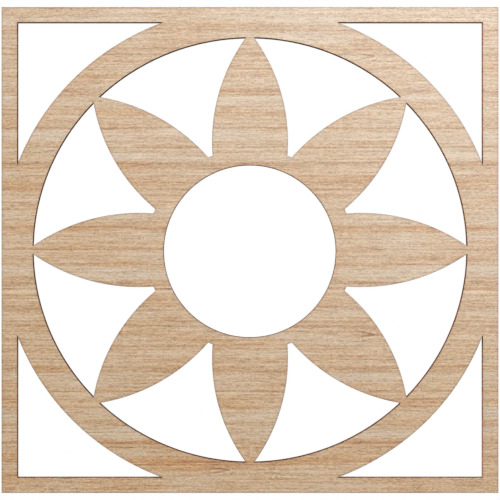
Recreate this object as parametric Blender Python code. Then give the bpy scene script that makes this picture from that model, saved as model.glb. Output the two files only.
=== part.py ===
"""Pierced ceiling medallion: one flat board of wooden fretwork, in metres.

The board hangs level. Its flat back is up, against the ceiling at Z = 0, and its face looks down.
For someone who stands under it and looks up, X runs to the right and Y runs to the bottom of the
pattern. The origin is the middle of the back.
"""

import math

import bpy

# The board.
PANEL_WIDTH = 0.4064
PANEL_HEIGHT = 0.3975
THICKNESS = 0.0095
FRAME_BAR = 0.0128
CORNERS = 4

# The pattern, drawn in a square of the board's width.
RING_OUTER_RADIUS = PANEL_WIDTH / 2
RING_WIDTH = 0.0255
HUB_RADIUS = 0.0846
PETALS = 8
PETAL_HALF_WIDTH = 0.0310
PETAL_WIDEST_AT = 0.0910
PETAL_POINT_AT = 0.1821

# The round opening for the light, cut a little off the pattern's centre.
OPENING_RADIUS = 0.0706
OPENING_CENTRE = (-0.0002, 0.0011)

# How many straight pieces each curved edge is cut into.
RING_PIECES = 24
SIDE_PIECES = 20
HUB_PIECES = 2
CORNER_PIECES = 32
OPENING_PIECES = 128

WOOD_COLOUR = (0.61, 0.43, 0.28, 1.0)
WOOD_ROUGHNESS = 0.55

RING_INNER_RADIUS = RING_OUTER_RADIUS - RING_WIDTH
HEIGHT_SHARE = PANEL_HEIGHT / PANEL_WIDTH


def steps(start, end, pieces):
    """Evenly spaced values from start to end, both included."""
    return [start + (end - start) * i / pieces for i in range(pieces + 1)]


def on_board(radius, angle):
    """A point of the square pattern, pressed to the board's height."""
    return radius * math.cos(angle), radius * math.sin(angle) * HEIGHT_SHARE


def petal_edge_angle(radius):
    """The angle from a petal's axis to its edge, where the edge is this far from the centre.

    Each side of a petal is one arc. The arc's centre lies across the axis from it, level with the
    petal's widest place.
    """
    reach = PETAL_POINT_AT - PETAL_WIDEST_AT
    arc_radius = (PETAL_HALF_WIDTH**2 + reach**2) / (2 * PETAL_HALF_WIDTH)
    across = arc_radius - PETAL_HALF_WIDTH
    away = math.hypot(PETAL_WIDEST_AT, across)
    turn = math.acos((radius**2 + away**2 - arc_radius**2) / (2 * radius * away))
    return turn - math.atan2(across, PETAL_WIDEST_AT)


def gap_outline(number):
    """The window between two petals, from the hub out to the ring and back."""
    first = number * math.tau / PETALS
    last = first + math.tau / PETALS
    radii = steps(HUB_RADIUS, RING_INNER_RADIUS, SIDE_PIECES)
    side = [(radius, petal_edge_angle(radius)) for radius in radii]
    hub_margin = side[0][1]
    ring_margin = side[-1][1]
    outline = [on_board(radius, first + margin) for radius, margin in side]
    outline += [
        on_board(RING_INNER_RADIUS, angle)
        for angle in steps(first + ring_margin, last - ring_margin, RING_PIECES)[1:-1]
    ]
    outline += [on_board(radius, last - margin) for radius, margin in reversed(side)]
    outline += [
        on_board(HUB_RADIUS, angle)
        for angle in steps(last - hub_margin, first + hub_margin, HUB_PIECES)[1:-1]
    ]
    return outline


def corner_outline(number):
    """The window between the ring and one corner of the frame."""
    quarter = math.tau / CORNERS
    first = number * quarter
    inner_half = PANEL_WIDTH / 2 - FRAME_BAR
    meets_bar = math.acos(inner_half / RING_OUTER_RADIUS)
    outline = [on_board(inner_half / math.cos(quarter / 2), first + quarter / 2)]
    outline += [
        on_board(RING_OUTER_RADIUS, angle)
        for angle in steps(first + quarter - meets_bar, first + meets_bar, CORNER_PIECES)
    ]
    return outline


def opening_outline():
    """The opening for the light, a true circle."""
    x, y = OPENING_CENTRE
    return [
        (x + OPENING_RADIUS * math.cos(angle), y + OPENING_RADIUS * math.sin(angle))
        for angle in steps(0.0, math.tau, OPENING_PIECES)[:-1]
    ]


def edge_outline():
    """The board's own four corners."""
    x, y = PANEL_WIDTH / 2, PANEL_HEIGHT / 2
    return [(x, y), (-x, y), (-x, -y), (x, -y)]


def wood():
    """Pale wood, sanded and left bare."""
    material = bpy.data.materials.new("pale_wood")
    material.use_nodes = True
    shader = material.node_tree.nodes["Principled BSDF"]
    shader.inputs["Base Color"].default_value = WOOD_COLOUR
    shader.inputs["Roughness"].default_value = WOOD_ROUGHNESS
    shader.inputs["Metallic"].default_value = 0.0
    return material


def flat_board(name, outlines, thickness, top, collection):
    """A board cut to the first outline, with the others as windows right through it."""
    curve = bpy.data.curves.new(name, "CURVE")
    curve.dimensions = "2D"
    curve.fill_mode = "BOTH"
    curve.extrude = thickness / 2
    for outline in outlines:
        spline = curve.splines.new("POLY")
        spline.points.add(len(outline) - 1)
        for point, (x, y) in zip(spline.points, outline):
            point.co = (x, y, 0.0, 1.0)
        spline.use_cyclic_u = True
    board = bpy.data.objects.new(name, curve)
    board.location = (0.0, 0.0, top - thickness / 2)
    collection.objects.link(board)
    return board


def main():
    for old in list(bpy.data.objects):
        bpy.data.objects.remove(old)
    collection = bpy.data.collections.new("ceiling_medallion")
    bpy.context.scene.collection.children.link(collection)

    outlines = [edge_outline(), opening_outline()]
    outlines += [gap_outline(number) for number in range(PETALS)]
    outlines += [corner_outline(number) for number in range(CORNERS)]
    board = flat_board("medallion_board", outlines, THICKNESS, 0.0, collection)
    board.data.materials.append(wood())


main()
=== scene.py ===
"""Looks of the pierced ceiling medallion: one board of pale wood with scorched cut edges.

Metres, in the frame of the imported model. The board's face looks down. For someone who stands
under it and looks up, X runs to the right, along the grain, and Y runs to the bottom of the
pattern.
"""

import math

import bmesh
import bpy
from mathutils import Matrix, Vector


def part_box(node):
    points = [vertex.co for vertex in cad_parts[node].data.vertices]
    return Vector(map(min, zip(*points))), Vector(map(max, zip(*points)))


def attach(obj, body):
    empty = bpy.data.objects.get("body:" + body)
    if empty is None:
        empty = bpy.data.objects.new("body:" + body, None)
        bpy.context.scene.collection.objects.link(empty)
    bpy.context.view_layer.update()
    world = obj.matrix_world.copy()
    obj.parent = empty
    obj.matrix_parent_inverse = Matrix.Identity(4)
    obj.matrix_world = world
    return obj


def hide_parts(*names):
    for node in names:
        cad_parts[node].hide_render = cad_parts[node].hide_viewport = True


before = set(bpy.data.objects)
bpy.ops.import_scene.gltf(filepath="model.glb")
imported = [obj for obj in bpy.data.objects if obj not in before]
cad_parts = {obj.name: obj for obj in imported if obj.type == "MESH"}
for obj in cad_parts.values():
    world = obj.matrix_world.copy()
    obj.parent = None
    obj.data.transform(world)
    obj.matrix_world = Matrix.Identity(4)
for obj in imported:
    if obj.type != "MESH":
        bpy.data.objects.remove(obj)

NODE = "medallion_board"
PIECE = "fretwork_board"
BODY = "root"

# Millimetres in a metre.
MM = 1000.0

# The pattern, drawn in a square of the board's width and pressed to its height.
FRAME_BAR = 0.0128
CORNERS = 4
RING_WIDTH = 0.0255
HUB_RADIUS = 0.0846
PETALS = 8
PETAL_HALF_WIDTH = 0.0310
PETAL_WIDEST_AT = 0.0910
PETAL_POINT_AT = 0.1821

# The round opening for the light, cut a little off the pattern's centre.
OPENING_RADIUS = 0.0706
OPENING_CENTRE = (-0.0002, 0.0011)

# How many straight pieces each edge is cut into.
RING_PIECES = 72
SIDE_PIECES = 48
HUB_PIECES = 10
CORNER_PIECES = 96
BAR_PIECES = 24
OPENING_PIECES = 360
BOARD_SIDE_PIECES = 80

# The cuts' eased edges. The beam came from the face, so each cut is this much narrower at the back.
EASE = 0.00015
EASE_PIECES = 3
CUT_NARROWS = 0.00016
WALL_ROWS = 4

# The strip of face beside each cut that heat has tinted, and where its rows lie, as shares of it.
TINTED_STRIP = 0.0020
STRIP_ROWS = (1.0, 0.6, 0.3, 0.12)

# At a corner, a row moves at most this many times as far as it does along a straight edge.
MOST_MITRE = 1.6

# Faces that meet at more than this angle have a sharp edge between them.
SHARP_ANGLE = math.radians(35)

# For each kind of edge, how strongly the face beside it is tinted and how much paler its wall is.
RING_LOOK = (0.25, 0.0)
FRAME_LOOK = (0.25, 1.0)
OPENING_LOOK = (0.4, 0.15)
OTHER_LOOK = (1.0, 0.0)

# A point is on an edge when it is this close to it.
EDGE_REACH = 0.00001

# The map for baking, in shares of its side: both faces side by side, and the cut walls in rows
# below, drawn this many times as large as the face.
MAP_MARGIN = 0.006
FACE_MAP_WIDTH = 0.62
BACK_MAP_WIDTH = 0.36
CUT_MAP_SCALE = 1.36

# The board's surfaces, which are also the numbers of its materials.
FACE, CUT, BACK = range(3)

# The wood's middle colour in sRGB levels, and how far each part of its look moves red, green and
# blue.
WOOD_LEVELS = (194.5, 158.5, 116.2)
BROAD_SLOPES = (0.48, 1.17, 1.92)
LONG_SLOPES = (0.78, 1.06, 1.38)
SHORT_SLOPES = (0.86, 1.04, 1.23)
WARM_SLOPES = (0.50, -0.15, -0.99)
PINK_SLOPES = (0.60, -0.47, 0.70)
PORE_SLOPES = (-20.0, -26.0, -32.0)
SCORCH_SLOPES = (-42.0, -39.0, -32.0)

# Dark tones reach further from the middle than light ones.
LEAN_SLOPES = (-0.0046, -0.0065, -0.0080)

# A shader's value is a level's share of the top level, but no less than this share, to this power.
TOP_LEVEL = 255.0
LEAST_SHARE = 0.01
LEVEL_POWER = 2.25

# How the growth lines sway: the length and width of the waves, and how far they reach, in mm. The
# lines also lean by this much for each mm of depth.
SWAYS = ((170.0, 30.0, 1.6), (35.0, 7.0, 0.8))
GROWTH_LEAN = 0.35

# Main growth lines: where they cross Y and their half width, in mm, and their tone in levels.
GROWTH_LINES = (
    (-189.5, 6.0, 10), (-181.0, 2.0, -14), (-174.5, 2.6, 7), (-165.0, 1.6, -13), (-160.0, 1.4, -10),
    (-135.5, 2.5, 6), (-129.5, 1.4, -17), (-123.5, 3.0, 10), (-116.0, 2.4, 6), (-99.5, 0.8, -13),
    (-92.5, 5.0, 10), (-84.0, 1.1, -16), (-79.0, 4.0, 9), (-70.0, 1.8, -21), (-63.5, 2.4, 5),
    (-55.0, 6.0, -9), (-55.0, 1.1, -9), (-50.5, 1.1, -9), (-44.0, 2.6, 5), (-28.5, 5.0, 7),
    (-18.0, 2.4, -13), (-10.5, 3.2, 8), (-3.5, 1.0, 9), (0.0, 1.6, -8), (11.5, 0.9, -9),
    (18.0, 5.0, 13), (26.5, 1.0, -20), (31.5, 0.8, -16), (34.0, 2.0, 17), (46.3, 1.8, -17),
    (52.5, 3.2, 4), (61.5, 2.0, -13), (66.5, 1.2, -9), (72.0, 3.2, 5), (97.8, 1.7, -15),
    (104.5, 3.0, 10), (115.5, 0.9, -9), (123.5, 2.4, -6), (128.0, 0.9, -11), (133.5, 4.0, 14),
    (142.5, 1.2, -19), (148.0, 5.0, 15), (158.0, 1.5, -18), (172.5, 3.6, -13),
)

# Growth lines wider than this, in mm, count as broad bands.
BROAD_FROM = 2.3

# Streaks between them: their width in mm, their tone in levels, and how finely they are divided.
STREAK_WIDTH = 2.2
STREAK_TONE = 76.0
STREAK_DETAIL = 3.0
STREAK_ROUGHNESS = 0.7

# Layers of fibres: length and width in mm, and tone in levels.
FIBRES = (
    (90.0, 9.0, 34.0), (40.0, 2.0, 46.0), (12.0, 1.2, 48.0), (4.0, 1.0, 58.0), (1.6, 0.9, 68.0),
)

# Flames in the grain, lines that run apart from a tip: the tip in mm, how far they run along X, and
# how fast they part.
FLAMES = ((101.6, -158.6, -16.0, 0.19), (101.4, 69.0, -13.0, 0.20), (-16.7, 179.9, -15.0, 0.16))

# One pin knot, its middle in mm and how long it is for its width.
KNOT = (21.5, 185.5)
KNOT_LENGTH = 1.5

# The lines of a flame and the rings of a knot: how far out, their half width in mm, and their tone.
FIGURE_LINES = ((0.0, 0.7, -50.0), (1.6, 0.7, 18.0), (3.0, 0.7, -16.0))

# Slanting veins, and a darker patch at the right: the middle in mm, the slope, half the length and
# half the width in mm, and the tone.
VEINS = (
    (-112.0, -20.4, -0.067, 33.0, 1.0, -15.0),
    (105.4, -20.0, -0.070, 30.0, 1.0, -14.0),
    (139.9, -130.1, -0.215, 11.0, 0.6, -24.0),
    (-91.6, 97.3, -0.030, 26.0, 0.7, -12.0),
    (-92.4, 98.2, -0.330, 5.0, 0.5, -13.0),
    (-79.5, 97.6, -0.330, 5.0, 0.5, -12.0),
    (188.0, 145.0, 0.0, 16.0, 9.0, -14.0),
    (-9.0, 97.0, -0.080, 22.0, 0.9, -14.0),
)

# Drifts of hue: length and width in mm, and levels.
WARM_DRIFTS = ((60.0, 12.0, 6.0), (32.0, 2.6, 10.0), (7.0, 1.6, 19.0))
PINK_DRIFTS = ((8.0, 2.8, 15.0),)

# Open pores: length and width in mm of the cells they lie in, and their size in those cells.
PORE_CELL = (5.0, 0.8)
PORE_SIZE = 0.12

# How rough the face and the back are, and the strength of their grain. Light wood is smoother.
FACE_FINISH = (0.5, 1.0)
BACK_FINISH = (0.6, 0.8)
ROUGHNESS_BY_TONE = -0.0006

# Bumps in all surfaces, and what a level of the short marks and a pore add to them.
BUMP_STRENGTH = 0.4
BUMP_HEIGHT = 0.0001
MARK_BUMP = 0.015
PORE_BUMP = -0.5

# The scorched walls: their middle colour, and the marks that run up and down them: their width in
# mm and their tone.
CHAR_LEVELS = (108.0, 67.0, 46.0)
CHAR_SLOPES = (1.0, 0.75, 0.55)
CHAR_MARKS = ((0.5, 60.0), (2.5, 60.0), (18.0, 50.0))
CHAR_ROUGHNESS = 0.9

# Their lighter rims, with the half width in mm, and how much lighter a pale wall is than others.
RIM_HALF_WIDTH = 0.28
RIM_SLOPES = (66.0, 60.0, 46.0)
PALE_SLOPES = (39.0, 43.0, 43.0)

# How fast each pattern changes with each mm of depth.
FIBRE_DEPTH_RATE = 0.3
PORE_DEPTH_RATE = 0.2
CHAR_DEPTH_RATE = 0.08

# Seeds, and steps between the seeds of layers, that keep the noises apart.
SWAY_SEED_STEP = 3.0
FIBRE_SEED_STEP = 17.0
DRIFT_SEED_STEP = 5.0
CHAR_SEED_STEP = 9.0
WARM_SEED = 41.0
PINK_SEED = 67.0

# The studio: its surroundings and its floor.
WHITE = (1.0, 1.0, 1.0, 1.0)
WORLD_LIGHT = 0.34
FLOOR_HALF = 60.0
FLOOR_Z = -3.2
FLOOR_COLOUR = (0.74, 0.74, 0.73, 1.0)
FLOOR_ROUGHNESS = 0.9

# A broad even light from above: where it comes from, its strength, and how wide it is as an angle.
TOP_FROM = (-2.0, -0.7, 3.0)
TOP_STRENGTH = 2.7
TOP_ANGLE = 0.6

# Round lamps below the board: place, size and power. The side lamp adds nothing to the wood's
# sheen, and the sheen lamp nothing else.
KEY = ((-3.2, -1.8, -2.9), 1.5, 80.0)
FILL = ((2.0, -2.0, -2.9), 1.5, 90.0)
SIDE = ((-4.0, 0.4, -0.35), 0.8, 45.0)
SHEEN = ((0.48, -0.84, -2.2), 1.0, 128.0)

# The camera: how high it is, in the frame's Z, and its focal length in mm.
CAMERA_Z = -1.9895
LENS = 174.4

low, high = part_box(NODE)
PANEL_WIDTH = high.x - low.x
PANEL_HEIGHT = high.y - low.y
BACK_Z = high.z
FACE_Z = low.z
HEIGHT_SHARE = PANEL_HEIGHT / PANEL_WIDTH
RING_OUTER_RADIUS = PANEL_WIDTH / 2
RING_INNER_RADIUS = RING_OUTER_RADIUS - RING_WIDTH
FRAME_INNER_HALF = PANEL_WIDTH / 2 - FRAME_BAR


def steps(start, end, pieces):
    """Evenly spaced values from start to end, both included."""
    return [start + (end - start) * i / pieces for i in range(pieces + 1)]


def on_board(radius, angle):
    """A point of the square pattern, pressed to the board's height."""
    return radius * math.cos(angle), radius * math.sin(angle) * HEIGHT_SHARE


def petal_edge_angle(radius):
    """The angle from a petal's axis to its edge, where the edge is this far from the centre."""
    reach = PETAL_POINT_AT - PETAL_WIDEST_AT
    arc_radius = (PETAL_HALF_WIDTH**2 + reach**2) / (2 * PETAL_HALF_WIDTH)
    across = arc_radius - PETAL_HALF_WIDTH
    away = math.hypot(PETAL_WIDEST_AT, across)
    turn = math.acos((radius**2 + away**2 - arc_radius**2) / (2 * radius * away))
    return turn - math.atan2(across, PETAL_WIDEST_AT)


def gap_outline(number):
    """The window between two petals, from the hub out to the ring and back."""
    first = number * math.tau / PETALS
    last = first + math.tau / PETALS
    radii = steps(HUB_RADIUS, RING_INNER_RADIUS, SIDE_PIECES)
    side = [(radius, petal_edge_angle(radius)) for radius in radii]
    hub_margin = side[0][1]
    ring_margin = side[-1][1]
    outline = [on_board(radius, first + margin) for radius, margin in side]
    outline += [
        on_board(RING_INNER_RADIUS, angle)
        for angle in steps(first + ring_margin, last - ring_margin, RING_PIECES)[1:-1]
    ]
    outline += [on_board(radius, last - margin) for radius, margin in reversed(side)]
    outline += [
        on_board(HUB_RADIUS, angle)
        for angle in steps(last - hub_margin, first + hub_margin, HUB_PIECES)[1:-1]
    ]
    return outline


def straight(start, end, pieces):
    """Points along a straight edge, the end left out."""
    return [
        (start[0] + (end[0] - start[0]) * i / pieces, start[1] + (end[1] - start[1]) * i / pieces)
        for i in range(pieces)
    ]


def corner_outline(number):
    """The window between the ring and one corner of the frame."""
    quarter = math.tau / CORNERS
    first = number * quarter
    meets_bar = math.acos(FRAME_INNER_HALF / RING_OUTER_RADIUS)
    corner = on_board(FRAME_INNER_HALF / math.cos(quarter / 2), first + quarter / 2)
    arc = [
        on_board(RING_OUTER_RADIUS, angle)
        for angle in steps(first + quarter - meets_bar, first + meets_bar, CORNER_PIECES)
    ]
    return straight(corner, arc[0], BAR_PIECES) + arc[:-1] + straight(arc[-1], corner, BAR_PIECES)


def opening_outline():
    """The opening for the light, a true circle."""
    x, y = OPENING_CENTRE
    return [
        (x + OPENING_RADIUS * math.cos(angle), y + OPENING_RADIUS * math.sin(angle))
        for angle in steps(0.0, math.tau, OPENING_PIECES)[:-1]
    ]


def edge_outline():
    """The board's own rectangle, turning the other way from its windows."""
    x, y = PANEL_WIDTH / 2, PANEL_HEIGHT / 2
    corners = [(x, y), (x, -y), (-x, -y), (-x, y)]
    outline = []
    for start, end in zip(corners, corners[1:] + corners[:1]):
        outline += straight(start, end, BOARD_SIDE_PIECES)
    return outline


def turned_left(outline):
    """The outline in anticlockwise order."""
    area = sum(a[0] * b[1] - b[0] * a[1] for a, b in zip(outline, outline[1:] + outline[:1]))
    return outline if area > 0 else outline[::-1]


def all_outlines():
    """The board's edge and its windows, each with the wood on its right hand."""
    windows = [opening_outline()]
    windows += [gap_outline(number) for number in range(PETALS)]
    windows += [corner_outline(number) for number in range(CORNERS)]
    return [edge_outline()] + [turned_left(window) for window in windows]


def moves_into_wood(points):
    """For each point of an outline, the move that sets its edges back by one unit."""
    ahead = points[1:] + points[:1]
    normals = []
    for point, after in zip(points, ahead):
        along = (after - point).normalized()
        normals.append(Vector((along.y, -along.x)))
    moves = []
    for before, after in zip(normals[-1:] + normals[:-1], normals):
        middle = (before + after).normalized()
        moves.append(middle * min(1 / middle.dot(after), MOST_MITRE))
    return moves


def edge_look(x, y):
    """The look of the edge that runs through this point."""
    if abs(math.dist((x, y), OPENING_CENTRE) - OPENING_RADIUS) < EDGE_REACH:
        return OPENING_LOOK
    square_x = abs(x)
    square_y = abs(y) / HEIGHT_SHARE
    if abs(math.hypot(square_x, square_y) - RING_INNER_RADIUS) < EDGE_REACH:
        return RING_LOOK
    if abs(max(square_x, square_y) - FRAME_INNER_HALF) < EDGE_REACH:
        return FRAME_LOOK
    return OTHER_LOOK


def edge_profile():
    """Rows round a cut edge, from the face to the back, as steps into the wood and heights.

    The rows come in three runs: the tinted strip of the face, the cut with its eased edges, and
    the same strip of the back. Runs that meet share a row.
    """
    middle_z = (FACE_Z + BACK_Z) / 2
    strip = [(EASE + (TINTED_STRIP - EASE) * share, FACE_Z) for share in STRIP_ROWS]
    arc = [
        (EASE * (1 - math.sin(turn)), FACE_Z + EASE * (1 - math.cos(turn)))
        for turn in steps(0.0, math.pi / 2, EASE_PIECES)
    ]
    wall = [(0.0, z) for z in steps(FACE_Z + EASE, BACK_Z - EASE, WALL_ROWS)[1:-1]]
    far_arc = [(inset, 2 * middle_z - z) for inset, z in reversed(arc)]
    far_strip = [(inset, 2 * middle_z - z) for inset, z in reversed(strip)]
    return [(FACE, strip + arc[:1]), (CUT, arc + wall + far_arc), (BACK, far_arc[-1:] + far_strip)]


class MapRows:
    """Places for the cut walls on the map for baking, in rows from its lower left corner."""

    def __init__(self, height):
        self.height = height
        self.left = MAP_MARGIN
        self.bottom = MAP_MARGIN

    def take(self, width):
        """The left end and the bottom of the next stretch."""
        if self.left + width > 1.0 - MAP_MARGIN:
            self.left = MAP_MARGIN
            self.bottom += self.height + MAP_MARGIN
        left = self.left
        self.left += width
        return left, self.bottom

    def skip(self):
        """Leaves a margin after an outline."""
        self.left += MAP_MARGIN


def place_on_map(vert, side):
    """Where a point of the face or the back lies on the map for baking."""
    x = vert.co.x + PANEL_WIDTH / 2
    y = vert.co.y + PANEL_HEIGHT / 2
    top = 1.0 - MAP_MARGIN
    if side == FACE:
        scale = FACE_MAP_WIDTH / PANEL_WIDTH
        return MAP_MARGIN + x * scale, top - y * scale
    scale = BACK_MAP_WIDTH / PANEL_WIDTH
    return 1.0 - MAP_MARGIN - x * scale, top - y * scale


def paint_flat(face, side, uv):
    """Gives a piece of the flat wood its material and its place on the map."""
    face.material_index = side
    for loop in face.loops:
        loop[uv].uv = place_on_map(loop.vert, side)


def paint_wall(face, left, right, near, far, uv):
    """Gives a piece of a cut wall its material and its place on the map."""
    face.material_index = CUT
    face.smooth = True
    corners = ((left, near), (left, far), (right, far), (right, near))
    for loop, corner in zip(face.loops, corners):
        loop[uv].uv = corner


def cut_edge(bm, outline, face_inset, rows_on_map, scale, layers):
    """The walls and eased edges round one outline, and the rims that the flat faces start from."""
    uv, scorch, pale = layers
    points = [Vector(point) for point in outline]
    looks = [edge_look(*point) for point in outline]
    moves = moves_into_wood(points)
    lengths = [(b - a).length * scale for a, b in zip(points, points[1:] + points[:1])]
    places = [rows_on_map.take(length) for length in lengths]
    rows_on_map.skip()
    rims = []
    last_row = None
    for side, profile in edge_profile():
        depth = 0.0
        for index, (inset, z) in enumerate(profile):
            if index == 0 and last_row:
                continue
            into_wood = inset + face_inset - CUT_NARROWS * (z - FACE_Z) / (BACK_Z - FACE_Z)
            row = [bm.verts.new((*(p + move * into_wood), z)) for p, move in zip(points, moves)]
            tint = (1.0 - max(0.0, inset - EASE) / (TINTED_STRIP - EASE)) ** 2
            for vert, (strength, paler) in zip(row, looks):
                vert[scorch] = tint * strength
                vert[pale] = paler
            if last_row is None:
                last_row = row
                rims.append(row)
                continue
            before = profile[index - 1]
            step = math.dist((inset, z), before) * scale
            for i, (left, bottom) in enumerate(places):
                j = (i + 1) % len(points)
                face = bm.faces.new((last_row[i], row[i], row[j], last_row[j]))
                if side == CUT:
                    near = bottom + rows_on_map.height - depth
                    paint_wall(face, left, left + lengths[i], near, near - step, uv)
                else:
                    paint_flat(face, side, uv)
            depth += step
            last_row = row
    rims.append(last_row)
    return rims


def fill_flat(bm, rims, side, uv):
    """The flat wood between the rims of one side."""
    edges = []
    for rim in rims:
        edges += [bm.edges.get((a, b)) for a, b in zip(rim, rim[1:] + rim[:1])]
    filled = bmesh.ops.triangle_fill(bm, use_beauty=True, edges=edges, normal=(0.0, 0.0, 1.0))
    for face in filled["geom"]:
        if isinstance(face, bmesh.types.BMFace):
            paint_flat(face, side, uv)


def build_board():
    """The whole board as one closed mesh."""
    bm = bmesh.new()
    uv = bm.loops.layers.uv.new("OFBake")
    scorch = bm.verts.layers.float.new("scorch")
    pale = bm.verts.layers.float.new("pale")
    layers = (uv, scorch, pale)
    scale = CUT_MAP_SCALE * FACE_MAP_WIDTH / PANEL_WIDTH
    cut = dict(edge_profile())[CUT]
    cut_depth = sum(math.dist(a, b) for a, b in zip(cut, cut[1:]))
    rows_on_map = MapRows(cut_depth * scale)
    face_rims = []
    back_rims = []
    for index, outline in enumerate(all_outlines()):
        face_inset = CUT_NARROWS if index == 0 else 0.0
        face_rim, back_rim = cut_edge(bm, outline, face_inset, rows_on_map, scale, layers)
        face_rims.append(face_rim)
        back_rims.append(back_rim)
    fill_flat(bm, face_rims, FACE, uv)
    fill_flat(bm, back_rims, BACK, uv)
    bmesh.ops.recalc_face_normals(bm, faces=bm.faces)
    mesh = bpy.data.meshes.new(PIECE)
    bm.to_mesh(mesh)
    bm.free()
    mesh.set_sharp_from_angle(angle=SHARP_ANGLE)
    board = bpy.data.objects.new(PIECE, mesh)
    bpy.context.scene.collection.objects.link(board)
    return board


class Nodes:
    """Adds nodes to a material and links them."""

    def __init__(self, material):
        self.tree = material.node_tree

    def add(self, kind, inputs, **settings):
        """A new node with these settings, and with these inputs set or linked."""
        node = self.tree.nodes.new(kind)
        for name, value in settings.items():
            setattr(node, name, value)
        for key, value in inputs.items():
            self.link(value, node.inputs[key])
        return node

    def math(self, operation, *values):
        """The result of one step of arithmetic."""
        node = self.add("ShaderNodeMath", dict(enumerate(values)), operation=operation)
        return node.outputs["Value"]

    def place(self, x, y, z):
        """A place from its three coordinates."""
        return self.add("ShaderNodeCombineXYZ", {"X": x, "Y": y, "Z": z}).outputs["Vector"]

    def noise_about_zero(self, dimensions, inputs):
        """Smooth noise, moved so that its middle is zero."""
        inputs["Scale"] = 1.0
        noise = self.add("ShaderNodeTexNoise", inputs, noise_dimensions=dimensions)
        return self.math("SUBTRACT", noise.outputs["Fac"], 0.5)

    def noise(self, place):
        """Smooth noise about zero, with features about one unit across."""
        return self.noise_about_zero("3D", {"Vector": place, "Detail": 0.0})

    def noise_along(self, place, detail, roughness):
        """Smooth noise about zero along one line, with finer noise on it."""
        return self.noise_about_zero("1D", {"W": place, "Detail": detail, "Roughness": roughness})

    def stretched(self, x, y, long, wide, seed):
        """A place in a pattern whose features have this length and width."""
        return self.place(self.math("DIVIDE", x, long), self.math("DIVIDE", y, wide), seed)

    def link(self, value, socket):
        """Links an output to a socket, or sets the socket to a plain value."""
        if isinstance(value, bpy.types.NodeSocket):
            self.tree.links.new(value, socket)
        else:
            socket.default_value = value

    def line(self, value, place, half_width):
        """One where the value is at the place, fading to nothing a few half widths away."""
        away = self.math("DIVIDE", self.math("SUBTRACT", value, place), half_width)
        return self.math("EXPONENT", self.math("MULTIPLY", self.math("MULTIPLY", away, away), -1.0))

    def distance(self, x, y):
        """How far a place is from the middle."""
        squares = self.math("MULTIPLY_ADD", x, x, self.math("MULTIPLY", y, y))
        return self.math("SQRT", squares)

    def bump(self, height):
        """The normal of a surface with these bumps."""
        inputs = {"Strength": BUMP_STRENGTH, "Distance": BUMP_HEIGHT, "Height": height}
        return self.add("ShaderNodeBump", inputs).outputs["Normal"]


def colour_from_levels(nodes, levels, parts):
    """A colour that starts at these levels and is moved by each part times its slopes."""
    channels = []
    for index, level in enumerate(levels):
        for value, slopes in parts:
            level = nodes.math("MULTIPLY_ADD", value, slopes[index], level)
        share = nodes.math("MAXIMUM", nodes.math("DIVIDE", level, TOP_LEVEL), LEAST_SHARE)
        channels.append(nodes.math("POWER", share, LEVEL_POWER))
    red, green, blue = channels
    colour = nodes.add("ShaderNodeCombineColor", {"Red": red, "Green": green, "Blue": blue})
    return colour.outputs["Color"]


def own_place(nodes):
    """The point's own X, Y and depth behind the face, in mm."""
    own = nodes.add("ShaderNodeTexCoord", {}).outputs["Object"]
    split = nodes.add("ShaderNodeSeparateXYZ", {"Vector": own})
    x, y, z = (nodes.math("MULTIPLY", split.outputs[axis], MM) for axis in "XYZ")
    return x, y, nodes.math("SUBTRACT", z, FACE_Z * MM)


def growth_field(nodes, x, y, depth):
    """Y as the growth lines see it: they sway a little and lean through the board."""
    growth = y
    for index, (long, wide, reach) in enumerate(SWAYS):
        sway = nodes.noise(nodes.stretched(x, y, long, wide, SWAY_SEED_STEP * index))
        growth = nodes.math("MULTIPLY_ADD", sway, reach, growth)
    return nodes.math("MULTIPLY_ADD", depth, GROWTH_LEAN, growth)


def figures(nodes, x, growth):
    """The tone of the flames, the knot and the slanting veins, in levels."""
    shapes = []
    for tip_x, tip_y, run, parting in FLAMES:
        along = nodes.math("DIVIDE", nodes.math("SUBTRACT", x, tip_x), math.copysign(1.0, run))
        ahead = nodes.math("MINIMUM", along, 0.0)
        behind = nodes.math("MAXIMUM", along, 0.0)
        aside = nodes.math("SUBTRACT", growth, tip_y)
        away = nodes.math("MULTIPLY_ADD", behind, -parting, nodes.distance(ahead, aside))
        shapes.append((away, nodes.line(along, 0.0, abs(run))))
    beside = nodes.math("DIVIDE", nodes.math("SUBTRACT", x, KNOT[0]), KNOT_LENGTH)
    shapes.append((nodes.distance(beside, nodes.math("SUBTRACT", growth, KNOT[1])), 1.0))
    tone = 0.0
    for away, strength in shapes:
        for place, half_width, change in FIGURE_LINES:
            line = nodes.math("MULTIPLY", nodes.line(away, place, half_width), strength)
            tone = nodes.math("MULTIPLY_ADD", line, change, tone)
    for middle_x, middle_y, slope, half_length, half_width, change in VEINS:
        level = nodes.math("MULTIPLY_ADD", nodes.math("SUBTRACT", x, middle_x), -slope, growth)
        line = nodes.line(level, middle_y, half_width)
        line = nodes.math("MULTIPLY", line, nodes.line(x, middle_x, half_length))
        tone = nodes.math("MULTIPLY_ADD", line, change, tone)
    return tone


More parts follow.
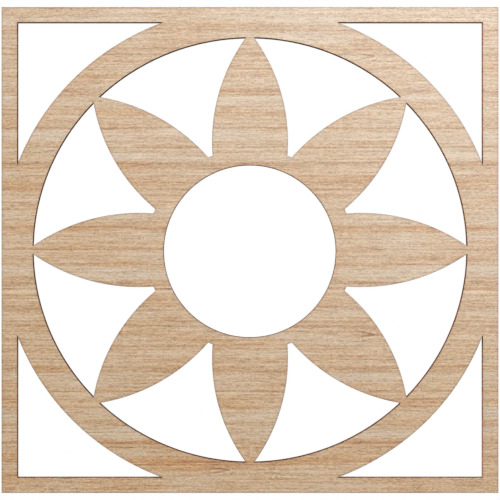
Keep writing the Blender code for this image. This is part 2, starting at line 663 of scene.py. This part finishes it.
def grain_tones(nodes, x, depth, growth):
    """Tones in levels, lighter above zero: of the broad bands, the long lines and the short marks."""
    across_streaks = nodes.math("DIVIDE", growth, STREAK_WIDTH)
    streaks = nodes.noise_along(across_streaks, STREAK_DETAIL, STREAK_ROUGHNESS)
    long_tone = nodes.math("MULTIPLY", streaks, STREAK_TONE)
    broad_tone = 0.0
    for place, half_width, change in GROWTH_LINES:
        line = nodes.line(growth, place, half_width)
        if half_width > BROAD_FROM:
            broad_tone = nodes.math("MULTIPLY_ADD", line, change, broad_tone)
        else:
            long_tone = nodes.math("MULTIPLY_ADD", line, change, long_tone)
    layers = []
    for index, (long, wide, change) in enumerate(FIBRES):
        seed = nodes.math("MULTIPLY_ADD", depth, FIBRE_DEPTH_RATE, FIBRE_SEED_STEP * index)
        layer = nodes.noise(nodes.stretched(x, growth, long, wide, seed))
        layers.append(nodes.math("MULTIPLY", layer, change))
    broad_tone = nodes.math("ADD", broad_tone, layers[0])
    long_tone = nodes.math("ADD", long_tone, layers[1])
    long_tone = nodes.math("ADD", long_tone, figures(nodes, x, growth))
    short_tone = nodes.math("ADD", layers[2], nodes.math("ADD", layers[3], layers[4]))
    return broad_tone, long_tone, short_tone


def drift(nodes, x, growth, layers, seed):
    """A slow change of hue along the grain, in levels."""
    total = 0.0
    for index, (long, wide, change) in enumerate(layers):
        place = nodes.stretched(x, growth, long, wide, seed + DRIFT_SEED_STEP * index)
        total = nodes.math("MULTIPLY_ADD", nodes.noise(place), change, total)
    return total


def wood(name, roughness, contrast):
    """Pale wood with its grain along X: growth lines, fibres and fine pores."""
    material = bpy.data.materials.new(name)
    material.use_nodes = True
    nodes = Nodes(material)
    x, y, depth = own_place(nodes)
    growth = growth_field(nodes, x, y, depth)
    tones = grain_tones(nodes, x, depth, growth)
    broad, long, short = (nodes.math("MULTIPLY", tone, contrast) for tone in tones)
    total = nodes.math("ADD", broad, nodes.math("ADD", long, short))

    cell = nodes.stretched(x, growth, *PORE_CELL, nodes.math("MULTIPLY", depth, PORE_DEPTH_RATE))
    pores = nodes.add("ShaderNodeTexVoronoi", {"Vector": cell, "Scale": 1.0})
    pore = nodes.math("LESS_THAN", pores.outputs["Distance"], PORE_SIZE)
    scorch = nodes.add("ShaderNodeAttribute", {}, attribute_name="scorch").outputs["Fac"]
    colour = colour_from_levels(nodes, WOOD_LEVELS, (
        (broad, BROAD_SLOPES),
        (long, LONG_SLOPES),
        (short, SHORT_SLOPES),
        (nodes.math("MULTIPLY", total, total), LEAN_SLOPES),
        (drift(nodes, x, growth, WARM_DRIFTS, WARM_SEED), WARM_SLOPES),
        (drift(nodes, x, growth, PINK_DRIFTS, PINK_SEED), PINK_SLOPES),
        (pore, PORE_SLOPES),
        (scorch, SCORCH_SLOPES),
    ))
    height = nodes.math("MULTIPLY_ADD", short, MARK_BUMP, nodes.math("MULTIPLY", pore, PORE_BUMP))
    rough = nodes.math("MULTIPLY_ADD", total, ROUGHNESS_BY_TONE, roughness)
    shader = material.node_tree.nodes["Principled BSDF"]
    nodes.link(colour, shader.inputs["Base Color"])
    nodes.link(rough, shader.inputs["Roughness"])
    nodes.link(nodes.bump(height), shader.inputs["Normal"])
    return material


def scorched_wood():
    """Wood browned by the cut, with fine marks up and down the wall."""
    material = bpy.data.materials.new("scorched_edge")
    material.use_nodes = True
    nodes = Nodes(material)
    x, y, depth = own_place(nodes)
    marks = 0.0
    for index, (wide, change) in enumerate(CHAR_MARKS):
        place = nodes.place(
            nodes.math("DIVIDE", x, wide),
            nodes.math("DIVIDE", y, wide),
            nodes.math("MULTIPLY_ADD", depth, CHAR_DEPTH_RATE, CHAR_SEED_STEP * index),
        )
        marks = nodes.math("MULTIPLY_ADD", nodes.noise(place), change, marks)
    from_back = nodes.math("SUBTRACT", (BACK_Z - FACE_Z) * MM, depth)
    rim = nodes.line(nodes.math("MINIMUM", depth, from_back), 0.0, RIM_HALF_WIDTH)
    pale = nodes.add("ShaderNodeAttribute", {}, attribute_name="pale").outputs["Fac"]
    colour = colour_from_levels(nodes, CHAR_LEVELS, (
        (marks, CHAR_SLOPES),
        (rim, RIM_SLOPES),
        (pale, PALE_SLOPES),
    ))
    shader = material.node_tree.nodes["Principled BSDF"]
    nodes.link(colour, shader.inputs["Base Color"])
    nodes.link(nodes.bump(marks), shader.inputs["Normal"])
    shader.inputs["Roughness"].default_value = CHAR_ROUGHNESS
    shader.inputs["Specular IOR Level"].default_value = 0.0
    return material


def aim_at_board(data, place):
    """Puts a lamp at a place and turns it to the middle of the board."""
    lamp = bpy.data.objects.new(data.name, data)
    lamp.location = place
    lamp.rotation_euler = (-Vector(place)).to_track_quat("-Z", "Y").to_euler()
    lamp.visible_camera = False
    bpy.context.scene.collection.objects.link(lamp)
    return lamp


def soft_light(name, place, size, power):
    """A round lamp that faces the board."""
    data = bpy.data.lights.new(name, "AREA")
    data.shape = "DISK"
    data.size = size
    data.energy = power
    return aim_at_board(data, place)


def light_from_above():
    """A broad even light on the board's back and on the floor."""
    data = bpy.data.lights.new("top", "SUN")
    data.angle = TOP_ANGLE
    data.energy = TOP_STRENGTH
    aim_at_board(data, TOP_FROM)


def white_surroundings():
    """Soft light from all round, and plain white where the camera sees past the floor."""
    world = bpy.data.worlds.new("studio")
    world.use_nodes = True
    bpy.context.scene.world = world
    tree = world.node_tree
    background = tree.nodes["Background"]
    background.inputs["Color"].default_value = WHITE
    background.inputs["Strength"].default_value = WORLD_LIGHT
    seen = tree.nodes.new("ShaderNodeBackground")
    seen.inputs["Color"].default_value = WHITE
    path = tree.nodes.new("ShaderNodeLightPath")
    mix = tree.nodes.new("ShaderNodeMixShader")
    tree.links.new(path.outputs["Is Camera Ray"], mix.inputs["Fac"])
    tree.links.new(background.outputs["Background"], mix.inputs[1])
    tree.links.new(seen.outputs["Background"], mix.inputs[2])
    tree.links.new(mix.outputs["Shader"], tree.nodes["World Output"].inputs["Surface"])


def pale_floor():
    """A wide floor far below the board, which throws no diffuse light back on it."""
    mesh = bpy.data.meshes.new("floor")
    far = FLOOR_HALF
    corners = [(-far, -far, 0), (far, -far, 0), (far, far, 0), (-far, far, 0)]
    mesh.from_pydata(corners, [], [(0, 1, 2, 3)])
    floor = bpy.data.objects.new("floor", mesh)
    floor.location = (0.0, 0.0, FLOOR_Z)
    bpy.context.scene.collection.objects.link(floor)
    material = bpy.data.materials.new("floor")
    material.use_nodes = True
    shader = material.node_tree.nodes["Principled BSDF"]
    shader.inputs["Base Color"].default_value = FLOOR_COLOUR
    shader.inputs["Roughness"].default_value = FLOOR_ROUGHNESS
    mesh.materials.append(material)
    floor.visible_diffuse = False


def studio():
    """White surroundings, a pale floor, a light from above and four round lamps."""
    white_surroundings()
    pale_floor()
    light_from_above()
    soft_light("key", *KEY)
    soft_light("fill", *FILL)
    side = soft_light("side", *SIDE)
    side.visible_glossy = False
    sheen = soft_light("sheen", *SHEEN)
    sheen.visible_diffuse = False


def photo_camera():
    """Looks straight up at the middle of the board."""
    data = bpy.data.cameras.new("camera")
    data.lens = LENS
    camera = bpy.data.objects.new("camera", data)
    camera.location = (0.0, 0.0, CAMERA_Z)
    camera.rotation_euler = (math.pi, 0.0, 0.0)
    bpy.context.scene.collection.objects.link(camera)
    bpy.context.scene.camera = camera


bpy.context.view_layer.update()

board = build_board()
board.data.materials.append(wood("pale_wood", *FACE_FINISH))
board.data.materials.append(scorched_wood())
board.data.materials.append(wood("pale_wood_back", *BACK_FINISH))
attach(board, BODY)
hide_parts(NODE)

photo_camera()
studio()
bpy.context.scene.view_settings.view_transform = "Standard"
